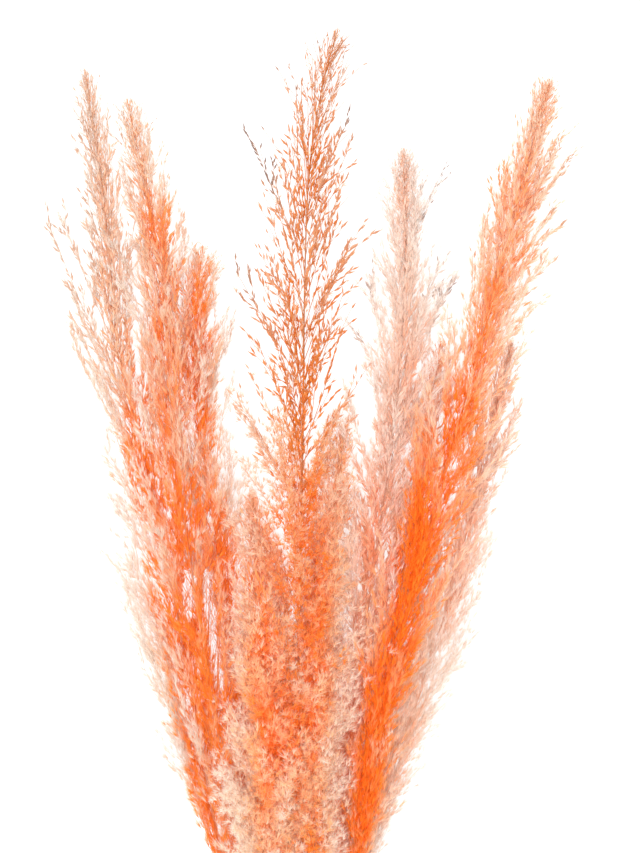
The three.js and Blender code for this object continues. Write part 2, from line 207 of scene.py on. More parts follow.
# Twine: its plies, its loose fibres, its knot, and a tail's line outwards, along and above the tie
PLIES = 3
PLY_PITCH = 0.006
PLY_STEP = 0.0007
PLY_OFF, PLY_THICK, PLY_SIDES = 0.26, 0.255, 6
FIBRE_GAP, FIBRE_FOOT = 0.0016, 0.42
FIBRE_REACH = (0.0008, 0.0026)
FIBRE_THICK = (0.00008, 0.00006, 0.00002)
TURN_POINTS, KNOT_POINTS = 90, 60
KNOT_SIZE, KNOT_RAISED = 0.36, 0.3
TAIL = ((0, 0.0005, 0.0004), (0.006, 0.0014, 0.0003), (0.010, 0.0024, -0.0012), (0.0132, 0.0032, -0.0042))
JUTE = ((0.22, 0.13, 0.06, 1), (0.50, 0.35, 0.20, 1))
JUTE_GRAIN = 1400.0

# Plume finish: the share of light that goes through a hair, and the streaks in its dye
LIGHT_THROUGH = 0.6
STREAK_SCALE = (34.0, 9.0, 34.0)
STREAKS = 2.2

# How far a tuft's own shade and a hair's tip wash its dye out, and where the colours change with depth
OWN_SHADE, TIP_WASH = 0.35, 0.4
BODY_DEPTH, EDGE_DEPTH = (0.0, 0.55), (0.45, 1.15)
HAIR_STARTS = (0.25, 0.5)

# How much of its own colour a spikelet shows, and how much less in a fluffy tuft; and where spikelets
# have gone ashen: how far out, how near the foot of the tuft and how high on the plume
HUSK, HUSK_HIDDEN = 0.6, 0.35
ASHEN_OUT, ASHEN_FOOT, ASHEN_HIGH = (1.15, 1.8), (-0.1, 0.2), (0.58, 0.82)
ASH = (0.36, 0.27, 0.25)

# Each stalk: its seat in the tie; its head's half width, where the head is widest, its width at the base
# as a share of that, how fast it narrows towards the tip and its thickness as a share of its width; and
# the line of its head
STALKS = {
    "left_outer": dict(
        seat=(-1, -1), width=0.040, widest=0.42, low=0.15, taper=0.9, flat=0.7,
        head=[(-0.057, 0.196, 0.020), (-0.088, 0.368, 0.023), (-0.121, 0.536, 0.024),
              (-0.148, 0.656, 0.024), (-0.160, 0.770, 0.022), (-0.176, 0.876, 0.012)]),
    "left_middle": dict(
        seat=(-1.5, 0), width=0.036, widest=0.5, low=0.32, taper=0.65, flat=0.75,
        head=[(-0.045, 0.188, 0.036), (-0.057, 0.288, 0.050), (-0.070, 0.368, 0.054),
              (-0.084, 0.448, 0.054), (-0.102, 0.584, 0.050), (-0.112, 0.700, 0.038),
              (-0.124, 0.770, 0.026), (-0.142, 0.852, 0.014)]),
    "left_inner": dict(
        seat=(-0.5, 0), width=0.025, widest=0.75, low=0.5, taper=0.55, flat=0.85,
        head=[(-0.032, 0.180, 0.022), (-0.038, 0.260, 0.025), (-0.050, 0.376, 0.028),
              (-0.066, 0.480, 0.028), (-0.082, 0.590, 0.027), (-0.085, 0.680, 0.026),
              (-0.080, 0.732, 0.022)]),
    "centre_tall": dict(
        seat=(0, 1), width=0.046, widest=0.45, low=0.45, taper=0.6, flat=0.75,
        head=[(-0.004, 0.168, 0.040), (-0.007, 0.260, 0.052), (-0.004, 0.388, 0.062),
              (-0.001, 0.508, 0.060), (0.001, 0.600, 0.049), (0.002, 0.704, 0.036),
              (0.006, 0.796, 0.027), (0.016, 0.860, 0.019), (0.029, 0.909, 0.012)]),
    "centre_front": dict(
        seat=(-1, 1), width=0.031, widest=0.35, low=0.7, taper=1.0, flat=0.8,
        head=[(-0.020, 0.176, 0.052), (-0.026, 0.248, 0.066), (-0.027, 0.352, 0.070),
              (-0.032, 0.450, 0.058), (-0.040, 0.536, 0.043)]),
    "centre_right": dict(
        seat=(0.5, 0), width=0.026, widest=0.4, low=0.8, taper=1.0, flat=0.85,
        head=[(0.006, 0.172, 0.044), (0.006, 0.248, 0.060), (0.010, 0.352, 0.065),
              (0.021, 0.480, 0.053), (0.034, 0.588, 0.040)]),
    "pale": dict(
        seat=(0, -1), width=0.042, widest=0.55, low=0.45, taper=0.75, flat=0.75,
        head=[(0.012, 0.184, 0.020), (0.021, 0.260, 0.026), (0.042, 0.376, 0.032),
              (0.061, 0.500, 0.034), (0.078, 0.632, 0.034), (0.083, 0.728, 0.028),
              (0.082, 0.812, 0.014)]),
    "right_tall": dict(
        seat=(1, 1), width=0.035, widest=0.65, low=0.38, taper=0.75, flat=0.75,
        head=[(0.036, 0.188, 0.038), (0.046, 0.256, 0.052), (0.061, 0.360, 0.060),
              (0.085, 0.448, 0.060), (0.108, 0.536, 0.057), (0.134, 0.624, 0.049),
              (0.156, 0.704, 0.039), (0.176, 0.780, 0.028), (0.200, 0.868, 0.014)]),
    "right_inner": dict(
        seat=(1, -1), width=0.026, widest=0.5, low=0.45, taper=0.8, flat=0.78,
        head=[(0.030, 0.186, 0.015), (0.038, 0.256, 0.018), (0.055, 0.352, 0.024),
              (0.080, 0.464, 0.026), (0.098, 0.560, 0.022), (0.107, 0.615, 0.019),
              (0.112, 0.656, 0.014)]),
    "right_outer": dict(
        seat=(1.5, 0), width=0.023, widest=0.5, low=0.30, taper=0.8, flat=0.9,
        head=[(0.044, 0.190, 0.022), (0.056, 0.256, 0.023), (0.078, 0.328, 0.023),
              (0.104, 0.400, 0.022), (0.129, 0.490, 0.021), (0.150, 0.580, 0.019),
              (0.170, 0.656, 0.012)]),
}

# How each plume looks: how many branches and tufts it has, and their kind; how much of its tip is fluffy,
# as its base is; how closely its tufts stand at the base and at the tip, and where along it both change;
# how its branches crowd, where unusual, and how far they run; its bands of stronger dye, with start, end
# and strength; the side in degrees where the dye is washed out, and how far; the dye; and its single
# long sprigs, with start, direction in degrees, run and reach
LOOKS = {
    "left_outer": dict(
        branches=130, tufts=6400, kind="silky", fluffy=0.35, full=(0.7, 0.55), change=(0.4, 0.62),
        run=0.1, vivid=((-0.1, 0.58, 0.9), (0.66, 1.1, -0.25)), washed=(180, 1.25), dye="peach",
        sprigs=((0.6, 180, 0.15, 0.046), (0.66, 200, 0.12, 0.042), (0.52, 170, 0.11, 0.036),
                (0.56, 160, 0.13, 0.04), (0.06, 175, 0.14, 0.02), (0.11, 190, 0.14, 0.026),
                (0.16, 180, 0.14, 0.032), (0.21, 165, 0.14, 0.036), (0.26, 185, 0.11, 0.04),
                (0.2, 178, 0.12, 0.038))),
    "left_middle": dict(
        branches=120, tufts=6000, kind="silky", fluffy=0.6, full=(0.7, 0.9), change=(0.45, 0.7),
        run=0.095, vivid=((-0.1, 0.58, 0.7), (0.6, 0.9, 0.5)), washed=(180, 0.4), dye="peach",
        sprigs=((0.7, 10, 0.08, 0.024),)),
    "left_inner": dict(
        branches=100, tufts=4900, kind="silky", fluffy=0.8, full=(0.7, 1.0), change=(0.6, 0.85),
        run=0.085, vivid=((-0.1, 0.64, 0.6), (0.66, 1.02, 0.8)), washed=(0, 0.3), dye="peach",
        sprigs=((0.72, 0, 0.09, 0.028), (0.5, 10, 0.08, 0.026))),
    "centre_tall": dict(
        branches=160, tufts=8500, kind="fluffy", fluffy=0.08, full=(1.0, 0.36), change=(0.43, 0.52),
        crowd=1.2, run=0.078, vivid=((-0.1, 0.52, 0.4), (0.46, 1.1, 0.3)), washed=(0, 0.0), dye="copper",
        sprigs=((0.6, 180, 0.095, 0.055), (0.74, 175, 0.09, 0.046), (0.47, 185, 0.09, 0.05),
                (0.66, 0, 0.08, 0.038), (0.8, 10, 0.07, 0.026))),
    "centre_front": dict(
        branches=140, tufts=8000, kind="fluffy", fluffy=0.2, full=(1.0, 0.35), change=(0.55, 0.75),
        run=0.05, vivid=((-0.1, 1.1, 0.26),), washed=(180, 0.8), dye="light",
        sprigs=((0.72, 180, 0.09, 0.022), (0.3, 180, 0.035, 0.036))),
    "centre_right": dict(
        branches=130, tufts=6500, kind="fluffy", fluffy=0.7, full=(1.0, 0.5), change=(0.6, 0.8),
        run=0.05, vivid=((-0.1, 1.1, 0.32),), washed=(0, 0.75), dye="light",
        sprigs=((0.54, 0, 0.04, 0.045), (0.5, 8, 0.036, 0.04))),
    "pale": dict(
        branches=150, tufts=7700, kind="silky", fluffy=0.7, full=(0.5, 1.0), change=(0.15, 0.35),
        crowd=1.0, run=0.08, vivid=((-0.1, 0.3, 1.0),), washed=(0, 0.3), dye="pale",
        sprigs=((0.86, 0, 0.085, 0.03), (0.72, 0, 0.07, 0.038), (0.62, 0, 0.07, 0.04),
                (0.5, 0, 0.08, 0.044))),
    "right_tall": dict(
        branches=140, tufts=8000, kind="silky", fluffy=0.6, full=(0.75, 1.1), change=(0.5, 0.8),
        run=0.095, vivid=((0.05, 0.64, 0.68), (0.66, 1.1, -0.15)), washed=(0, 0.3), dye="vivid",
        sprigs=((0.8, 0, 0.085, 0.032), (0.74, 5, 0.08, 0.03), (0.62, -5, 0.085, 0.034),
                (0.45, 0, 0.08, 0.04))),
    "right_inner": dict(
        branches=90, tufts=3300, kind="silky", fluffy=0.6, full=(0.6, 0.35), change=(0.5, 0.7),
        run=0.08, vivid=(), washed=(180, 0.0), dye="vivid",
        sprigs=((0.6, 180, 0.08, 0.03),)),
    "right_outer": dict(
        branches=90, tufts=4400, kind="silky", fluffy=0.3, full=(0.7, 0.8), change=(0.5, 0.7),
        run=0.08, vivid=(), washed=(0, 0.2), dye="blush",
        sprigs=((0.7, 0, 0.09, 0.02), (0.5, 10, 0.08, 0.022))),
}

# Tufts: the spikelet's length and width, the number of hairs, their length and width, how far they
# spread, how far each tuft leans and how far it is scattered off its twig
TUFTS = {
    "silky": dict(spikelet=(0.0060, 0.0009), hairs=11, hair=(0.0085, 0.00040),
                  spread=0.55, lean=0.35, scatter=0.0025),
    "fluffy": dict(spikelet=(0.0046, 0.0011), hairs=12, hair=(0.0066, 0.00052),
                   spread=1.1, lean=0.75, scatter=0.0050),
    "bare": dict(spikelet=(0.0076, 0.0019), hairs=0, lean=0.45),
}

# Slits between the plumes on the left, as lines from x, y to x, y, and how far tufts keep from them
SLITS = ((-0.0896, 0.467, -0.0896, 0.432), (-0.0767, 0.467, -0.0646, 0.378))
SLIT_CLEAR = 0.0045

# The colours that the dye of a plume is mixed from, and the values at its points that mix them
DYE_COLOURS = ("Deep", "Body", "Edge", "Spikelet", "Ash")
DYE_VALUES = ("Depth", "Hair", "Shade", "Fluffy", "High")

# Dyes: deep in the plume, in its body, at its edge, of its spikelets and stems (linear colours), and
# how far its outer spikelets have gone ashen
DYES = {
    "vivid": ((0.98, 0.37, 0.04), (0.96, 0.58, 0.30), (0.94, 0.80, 0.66), (0.90, 0.38, 0.11), 0.35),
    "copper": ((0.97, 0.42, 0.08), (0.94, 0.66, 0.43), (0.92, 0.79, 0.66), (0.72, 0.30, 0.09), 1.0),
    "peach": ((0.97, 0.40, 0.07), (0.91, 0.70, 0.52), (0.89, 0.83, 0.76), (0.90, 0.54, 0.32), 0.35),
    "light": ((0.99, 0.46, 0.10), (0.97, 0.75, 0.51), (0.94, 0.87, 0.78), (0.94, 0.50, 0.22), 0.0),
    "blush": ((0.97, 0.64, 0.43), (0.94, 0.78, 0.66), (0.93, 0.87, 0.81), (0.90, 0.62, 0.46), 0.0),
    "pale": ((0.97, 0.57, 0.32), (0.94, 0.79, 0.69), (0.92, 0.87, 0.82), (0.84, 0.66, 0.56), 0.8),
}


def rise(t):
    """A soft step from 0 to 1."""
    t = np.clip(t, 0.0, 1.0)
    return t * t * (3 - 2 * t)


def mix(a, b, t):
    """The value a share t of the way from a to b."""
    return a + (b - a) * t


def new_object(name, data):
    """A new object in the scene."""
    holder = bpy.data.objects.new(name, data)
    bpy.context.scene.collection.objects.link(holder)
    return holder


def keep_values(mesh, values):
    """Keeps numbers at the points of a mesh, a list for each name."""
    for name, kept in values.items():
        data = mesh.attributes.new(name, "FLOAT", "POINT").data
        data.foreach_set("value", np.array(kept, np.float32))


class StalkLine:
    """The line of a whole stalk, from its cut end through the tie to the tip of its head."""

    def __init__(self, name, cut_miss=0.0):
        stalk = STALKS[name]
        column, row = stalk["seat"]
        x = column * PACK_PITCH
        z = TIE_HEIGHT + row * PACK_ROW
        cut_height = CANE_RADIUS_CUT + FLOOR_CLEAR + (row + 1) * PACK_ROW
        points = [
            (x * CUT_SPREAD, -CUT_LENGTH + cut_miss, cut_height),
            (x * mix(1, CUT_SPREAD, HALFWAY_SPREAD), -CUT_LENGTH / 2, mix(z, cut_height, 0.5)),
            (x, -STRAIGHT_IN_TIE, z),
            (x, 0, z),
            (x, STRAIGHT_IN_TIE, z),
            *stalk["head"],
        ]
        self.path = smooth_path(np.array(points, float)) + MIDDLE
        self.along = lengths_along(self.path)
        self.length = self.along[-1]
        self.tie_at = np.interp(MIDDLE[1], self.path[:, 1], self.along)
        self.base_at = np.interp(MIDDLE[1] + stalk["head"][0][1], self.path[:, 1], self.along)
        self.head_length = self.length - self.base_at

    def at(self, distance):
        return np.array([np.interp(distance, self.along, self.path[:, k]) for k in range(3)])

    def frame_at(self, distance):
        """Middle, forward, sideways and upward directions at a distance from the cut end."""
        middle = self.at(distance)
        step = 0.002
        behind = self.at(min(distance, self.length - step) - step)
        forward = self.at(min(distance, self.length - step) + step) - behind
        forward /= np.linalg.norm(forward)
        side = np.cross(forward, (0, 0, 1))
        side /= np.linalg.norm(side)
        return middle, forward, side, np.cross(side, forward)


def lengths_along(path):
    """The distance from the start of a path to each of its points."""
    return np.concatenate([[0.0], np.cumsum(np.linalg.norm(np.diff(path, axis=0), axis=1))])


def smooth_path(points, steps=24):
    """A centripetal Catmull-Rom line through the points."""
    ends = np.vstack([2 * points[0] - points[1], points, 2 * points[-1] - points[-2]])
    out = []
    for a, b, c, d in zip(ends, ends[1:], ends[2:], ends[3:]):
        gaps = [np.linalg.norm(q - p) ** 0.5 for p, q in ((a, b), (b, c), (c, d))]
        start = ((b - a) / gaps[0] - (c - a) / (gaps[0] + gaps[1]) + (c - b) / gaps[1]) * gaps[1]
        end = ((c - b) / gaps[1] - (d - b) / (gaps[1] + gaps[2]) + (d - c) / gaps[2]) * gaps[1]
        t = np.linspace(0, 1, steps, endpoint=False)[:, None]
        curve = b + start * t + (3 * (c - b) - 2 * start - end) * t**2 + (2 * (b - c) + start + end) * t**3
        out.append(curve)
    return np.vstack([*out, points[-1:]])


def reach_at(stalk, t):
    """Half width of a head at a share t of its length."""
    if t < stalk["widest"]:
        return stalk["width"] * mix(stalk["low"], 1, rise(t / stalk["widest"]))
    u = min(1.0, (t - stalk["widest"]) / (1 - stalk["widest"]))
    return stalk["width"] * (1 - u * u) ** stalk["taper"] + HEAD_TIP


class Strands:
    """Many thin open lines kept as one mesh of edges, with numbers at each point."""

    def __init__(self, *names):
        self.points, self.edges = [], []
        self.values = {name: [] for name in names}

    def add(self, points, **values):
        start = len(self.points)
        count = len(points)
        self.points.extend(points)
        self.edges.extend((start + i, start + i + 1) for i in range(count - 1))
        for key, kept in self.values.items():
            kept.extend(np.broadcast_to(values[key], count))

    def budded_length(self):
        """The length of the lines, counting each only as far as tufts grow on it."""
        points = np.array(self.points)
        ends = np.array(self.edges)
        budded = np.array(self.values["bud"])[ends].mean(axis=1)
        return (np.linalg.norm(points[ends[:, 1]] - points[ends[:, 0]], axis=1) * budded).sum()

    def mesh(self, name):
        mesh = bpy.data.meshes.new(name)
        mesh.from_pydata([tuple(p) for p in self.points], self.edges, [])
        keep_values(mesh, self.values)
        return mesh


def branch_path(line, stalk, start, along, angle, reach, rng):
    """A branch's points: it leaves the stem and climbs outward beside it."""
    sway = rng.uniform(-SWAY, SWAY)
    bow = rng.uniform(*BOW)
    points = []
    for s in np.linspace(0, 1, BRANCH_POINTS):
        middle, forward, side, up = line.frame_at(start + along * s)
        turned = angle + sway * s
        across = side * math.cos(turned) + up * math.sin(turned) * stalk["flat"]
        point = middle + across * reach * s**bow
        point[2] = min(max(point[2], BRANCH_CLEAR), BRANCH_TOP)
        points.append(point)
    return np.array(points)


def twig_path(branch, at, length, turn, tilt):
    """A short twig that leaves a branch and bends back along it."""
    index = min(int(at * (len(branch) - 1)), len(branch) - 2)
    part = at * (len(branch) - 1) - index
    start = mix(branch[index], branch[index + 1], part)
    forward = branch[index + 1] - branch[index]
    forward /= np.linalg.norm(forward)
    side = np.cross(forward, (0.3, 0.2, 1.0))
    side /= np.linalg.norm(side)
    up = np.cross(side, forward)
    across = side * math.cos(turn) + up * math.sin(turn)
    steps = np.linspace(0, 1, TWIG_POINTS)[:, None]
    ahead = forward * length * steps * math.cos(tilt)
    path = start + ahead + across * length * math.sin(tilt) * steps**TWIG_BEND
    path[:, 2] = np.clip(path[:, 2], BRANCH_CLEAR, BRANCH_TOP)
    return path


def vividness(look, t):
    """How much stronger the dye is at a share t of the plume's length."""
    return sum(strength * rise((t - low) / BAND_EDGE) * rise((high - t) / BAND_EDGE)
               for low, high, strength in look["vivid"])


def plume_strands(name, line):
    """The stem, branches and twigs of one plume."""
    stalk, look = STALKS[name], LOOKS[name]
    rng = random.Random("plume " + name)
    strands = Strands("thick", "depth", "bud", "shade", "fluffy", "size", "high")
    shares = np.linspace(0, 1, STEM_POINTS)
    stem = [line.at(line.base_at + s * line.head_length) for s in shares]
    thick = [mix(CANE_RADIUS_TOP, RACHIS_RADIUS_TIP, s**0.5) for s in shares]
    strands.add(stem, thick=thick, depth=STEM_DEPTH, bud=0.0, shade=0.5, fluffy=0.0, size=1.0, high=shares)
    starts = []
    for i in range(look["branches"]):
        t = ((i + 0.5) / look["branches"]) ** look.get("crowd", USUAL_CROWD) * LAST_BRANCH
        along = look["run"] * rng.uniform(*RUN_STRAY)
        angle = i * GOLDEN_ANGLE + rng.uniform(-TURN_STRAY, TURN_STRAY)
        starts.append((t, angle, along, None))
    starts.extend((t, math.radians(turn), along, reach) for t, turn, along, reach in look["sprigs"])
    for t, angle, along, sprig_reach in starts:
        start = line.base_at + t * line.head_length
        along = min(along, (line.length - start) * rng.uniform(*RUN_ROOM))
        widest = reach_at(stalk, min(1.0, t + along / line.head_length))
        reach = sprig_reach or widest * mix(*REACH_SHARES, rng.random() ** REACH_CROWD)
        branch = branch_path(line, stalk, start, along, angle, reach, rng)
        add_branch(strands, look, line, branch, t, along, angle, reach / widest,
                   widest / stalk["width"], sprig_reach is not None, rng)
    return strands


def add_branch(strands, look, line, branch, t, along, angle, share, slimness, is_sprig, rng):
    """Adds a branch and its twigs, with their dye depth, tufts and thickness."""
    crowd, dyed = (SPRIG_CROWD, SPRIG_DYED) if is_sprig else (1.0, 1.0)
    change_start, change_end = look["change"]
    open_part = rise((t - change_start) / (change_end - change_start))
    fluffy = mix(1.0, look["fluffy"], open_part)
    full = mix(*look["full"], open_part) * crowd * mix(SLIM_FULL, 1.0, min(1.0, SLIM_GAIN * slimness))
    steps = np.linspace(0, 1, len(branch))
    shares = t + steps * along / line.head_length
    outward = share * (FACING_DEPTH + SIDE_DEPTH * abs(math.cos(angle))) * steps
    washed_side, washed = look["washed"]
    pale_side = washed * max(0.0, math.cos(angle - math.radians(washed_side)))
    faded = TIP_FADE * rise((shares - FADE_START) / FADE_SPAN)
    strong = vividness(look, shares) * (DYE_REACH - outward) * dyed - faded - pale_side * outward
    size = mix(1.0, TIP_SIZE, rise((shares - SHRINK_START) / SHRINK_SPAN))
    shade = rng.random()
    strands.add(branch, thick=mix(*BRANCH_THICK, steps), depth=outward - strong,
                bud=full * rise((steps - FOOT_BARE) / FOOT_SPAN), shade=shade, fluffy=fluffy,
                size=size, high=shares)
    left = line.head_length * (1 - t)
    twigs = LONG_TWIGS if along > LONG_BRANCH else SHORT_TWIGS
    for j in range(twigs):
        at = TWIG_START + TWIG_SPAN * (j + rng.random()) / twigs
        room = left - along * at
        length = min(rng.uniform(*TWIG_LENGTH), room * TWIG_ROOM + TWIG_LEAST)
        tilt = rng.uniform(*TWIG_TILT)
        twig = twig_path(branch, at, length, rng.uniform(0, 2 * math.pi), tilt)
        depth = np.interp(at, steps, outward - strong) + np.linspace(0, TWIG_FADE, TWIG_POINTS)
        strands.add(twig, thick=TWIG_THICK, depth=depth, bud=full,
                    shade=shade + rng.uniform(-TWIG_SHADE, TWIG_SHADE), fluffy=fluffy,
                    size=np.interp(at, steps, size), high=np.interp(at, steps, shares))


def spikelet(length, half, sides):
    """Points, hair values and faces of a spikelet, which is flat with 2 sides and solid with 3."""
    points = [(0, 0, 0), (0, 0, length)]
    for k in range(sides):
        turn = 2 * math.pi * k / sides
        points.append((half * math.cos(turn), half * math.sin(turn), length * SPIKELET_WIDEST))
    hair = [0.0, 0.2] + [0.1] * sides
    if sides == 2:
        return points, hair, [(0, 2, 1), (0, 1, 3)]
    ring = ((2, 3), (3, 4), (4, 2))
    return points, hair, [face for a, b in ring for face in ((0, b, a), (1, a, b))]


def tuft_mesh(name, kind, rng):
    """A spikelet with hairs, or bare. The hair value runs from 0 at its foot to 1 at a hair's tip."""
    length = kind["spikelet"][0] * rng.uniform(*SPIKELET_STRAY)
    hairs = kind["hairs"]
    points, hair, faces = spikelet(length, kind["spikelet"][1] / 2, 2 if hairs else 3)
    for k in range(hairs):
        turn = 2 * math.pi * (k + rng.random()) / hairs
        tilt = kind["spread"] * rng.uniform(*SPREAD_STRAY)
        reach = kind["hair"][0] * rng.uniform(*HAIR_STRAY)
        foot = HAIR_FOOT * rng.random()
        half = kind["hair"][1] / 2
        x, y = math.cos(turn), math.sin(turn)
        first = len(points)
        points.append((-y * half, x * half, foot))
        points.append((y * half, -x * half, foot))
        points.append((reach * x * math.sin(tilt), reach * y * math.sin(tilt),
                       reach * math.cos(tilt) + foot))
        hair.extend([0.6, 0.6, 1.0])
        faces.append((first, first + 1, first + 2))
    mesh = bpy.data.meshes.new(name)
    mesh.from_pydata(points, [], faces)
    keep_values(mesh, {"hair": hair})
    return mesh


def tuft_collection(name):
    """A few tufts of one kind, for a tree of nodes to pick from."""
    kind = TUFTS[name]
    rng = random.Random(name)
    group = bpy.data.collections.new(name)
    bpy.context.scene.collection.children.link(group)
    for k in range(TUFT_SORTS):
        mesh = tuft_mesh(f"{name}_{k}", kind, rng)
        group.objects.link(bpy.data.objects.new(f"{name}_{k}", mesh))
    return group


class Nodes:
    """The nodes of a tree, added and joined by the names of their sockets."""

    def __init__(self, tree):
        self.tree = tree

    def join(self, value, socket):
        """Links a socket, or sets a plain value."""
        if isinstance(value, bpy.types.NodeSocket):
            self.tree.links.new(value, socket)
        else:
            socket.default_value = value

    def fill(self, node, **values):
        """Joins each value to the input of that name, with _ for a space."""
        for key, value in values.items():
            label = key.replace("_", " ")
            self.join(value, next(s for s in node.inputs if s.name == label and s.enabled))

    def add(self, kind, settings=None, **values):
        """A new node with its settings made and its inputs filled."""
        node = self.tree.nodes.new(kind)
        for key, value in (settings or {}).items():
            setattr(node, key, value)
        self.fill(node, **values)
        return node

    def math(self, operation, *values, kind="ShaderNodeMath"):
        """The outcome of an operation on one or two values."""
        node = self.add(kind, {"operation": operation})
        for value, socket in zip(values, node.inputs):
            self.join(value, socket)
        return node.outputs[0]


class Growth(Nodes):
    """A tree of geometry nodes with named inputs."""

    def __init__(self, name, inputs):
        super().__init__(bpy.data.node_groups.new(name, "GeometryNodeTree"))
        face = self.tree.interface
        face.new_socket("Geometry", in_out="INPUT", socket_type="NodeSocketGeometry")
        face.new_socket("Geometry", in_out="OUTPUT", socket_type="NodeSocketGeometry")
        for label, kind in inputs.items():
            face.new_socket(label, in_out="INPUT", socket_type="NodeSocket" + kind)
        self.given = self.tree.nodes.new("NodeGroupInput").outputs

    def attribute(self, name):
        node = self.add("GeometryNodeInputNamedAttribute", {"data_type": "FLOAT"}, Name=name)
        return node.outputs["Attribute"]

    def chance(self, low, high, purpose, kind="FLOAT"):
        """A random value for each tuft, the same on every run."""
        seed = self.math("ADD", self.given["Seed"], CHANCES.index(purpose))
        node = self.add("FunctionNodeRandomValue", {"data_type": kind}, Min=low, Max=high, Seed=seed)
        return next(s for s in node.outputs if s.enabled)

    def happens(self, share, purpose):
        """True as often as the share says."""
        return self.add("FunctionNodeCompare", {"operation": "GREATER_THAN"}, A=share,
                        B=self.chance(0.0, 1.0, purpose)).outputs[0]

    def finish(self, geometry):
        self.fill(self.tree.nodes.new("NodeGroupOutput"), Geometry=geometry)
        return self.tree


def clear_of_slits(tree):
    """1 at a point that's clear of every slit as seen from above, 0 in one."""
    place = tree.add("GeometryNodeInputPosition").outputs[0]
    parts = tree.add("ShaderNodeSeparateXYZ", Vector=place).outputs
    flat = tree.add("ShaderNodeCombineXYZ", X=parts["X"], Y=parts["Y"]).outputs[0]
    lines = tree.add("GeometryNodeObjectInfo", Object=tree.given["Slits"]).outputs["Geometry"]
    near = tree.add("GeometryNodeProximity", {"target_element": "EDGES"}, Geometry=lines,
                    Sample_Position=flat)
    return tree.math("GREATER_THAN", near.outputs["Distance"], tree.given["Slit clear"])


def scattered(tree, points):
    """The points, moved off their twigs as far as their tufts are fluffy."""
    far = tree.math("MULTIPLY", tree.given["Scatter"], tree.attribute("fluffy"))
    around = tree.chance((-1.0, -1.0, -1.0), (1.0, 1.0, 1.0), "scatter", "FLOAT_VECTOR")
    off = tree.add("ShaderNodeVectorMath", {"operation": "SCALE"}, Vector=around, Scale=far).outputs[0]
    return tree.add("GeometryNodeSetPosition", Geometry=points, Offset=off).outputs[0]


def tufts_on(tree, kind, places, chosen, ahead):
    """Tufts of one kind on the chosen points, each turned about its twig and leaning off it."""
    size = tree.math("MULTIPLY", tree.chance(*TUFT_SIZES, "size"), tree.attribute("size"))
    lean = tree.math("MULTIPLY", tree.given[kind + " lean"], tree.chance(*LEAN_STRAY, "lean"))
    turned = tree.add("ShaderNodeCombineXYZ", X=lean, Z=tree.chance(0.0, 2 * math.pi, "spin")).outputs[0]
    turn = tree.add("FunctionNodeEulerToRotation", Euler=turned).outputs[0]
    along = tree.add("FunctionNodeAlignRotationToVector", {"axis": "Z"}, Vector=ahead).outputs[0]
    facing = tree.add("FunctionNodeRotateRotation", {"rotation_space": "LOCAL"}, Rotation=along,
                      Rotate_By=turn).outputs[0]
    sorts = tree.add("GeometryNodeCollectionInfo", Collection=tree.given[kind + " tufts"],
                     Separate_Children=True, Reset_Children=True).outputs[0]
    return tree.add("GeometryNodeInstanceOnPoints", Points=places, Selection=chosen, Instance=sorts,
                    Pick_Instance=True, Instance_Index=tree.chance(0, TUFT_SORTS - 1, "pick", "INT"),
                    Rotation=facing, Scale=size).outputs[0]


def growth_tree():
    """Turns strands into round stems and sets tufts of spikelets and hairs along them."""
    tree = Growth("plume growth", {
        "Stem sides": "Int", "Tuft spacing": "Float", "Scatter": "Float", "Seed": "Int",
        "Fluffy tufts": "Collection", "Fluffy lean": "Float", "Bare tufts": "Collection",
        "Bare lean": "Float", "Finish": "Material", "Slits": "Object", "Slit clear": "Float",
    })
    given = tree.given
    strands = tree.add("GeometryNodeMeshToCurve", Mesh=given["Geometry"]).outputs[0]
    ring = tree.add("GeometryNodeCurvePrimitiveCircle", Resolution=given["Stem sides"], Radius=1.0)
    stems = tree.add("GeometryNodeCurveToMesh", Curve=strands, Profile_Curve=ring.outputs[0],
                     Scale=tree.attribute("thick")).outputs[0]
    dots = tree.add("GeometryNodeCurveToPoints", {"mode": "LENGTH"}, Curve=strands,
                    Length=given["Tuft spacing"]).outputs
    places = scattered(tree, dots["Points"])
    budded = tree.happens(tree.math("MULTIPLY", tree.attribute("bud"), clear_of_slits(tree)), "bud")
    fluffy = tree.happens(tree.attribute("fluffy"), "kind")
    whole = tree.add("GeometryNodeJoinGeometry", Geometry=stems)
    for kind, operation in (("Fluffy", "AND"), ("Bare", "NIMPLY")):
        chosen = tree.math(operation, budded, fluffy, kind="FunctionNodeBooleanMath")
        tree.fill(whole, Geometry=tufts_on(tree, kind, places, chosen, dots["Tangent"]))
    real = tree.add("GeometryNodeRealizeInstances", Geometry=whole.outputs[0]).outputs[0]
    finished = tree.add("GeometryNodeSetMaterial", Geometry=real, Material=given["Finish"])
    return tree.finish(finished.outputs[0])


def grown(name, mesh, tree, values):
    """A plain mesh object from a mesh with a tree of nodes run on it."""
    holder = new_object(name + "_seed", mesh)
    modifier = holder.modifiers.new("growth", "NODES")
    modifier.node_group = tree
    for item in tree.interface.items_tree:
        if item.in_out == "INPUT" and item.name in values:
            modifier[item.identifier] = values[item.name]
    evaluated = holder.evaluated_get(bpy.context.evaluated_depsgraph_get())
    result = bpy.data.meshes.new_from_object(evaluated)
    bpy.data.objects.remove(holder)
    result.name = name
    return new_object(name, result)


def random_from(seed):
    """The same draws as the part's, so that cut ends and joints fall where its own do."""
    state = seed
    while True:
        state = (state + 0x6D2B79F5) & 0xFFFFFFFF
        t = ((state ^ (state >> 15)) * (1 | state)) & 0xFFFFFFFF
        t = ((t + (((t ^ (t >> 7)) * (61 | t)) & 0xFFFFFFFF)) & 0xFFFFFFFF) ^ t
        yield ((t ^ (t >> 14)) & 0xFFFFFFFF) / 4294967296


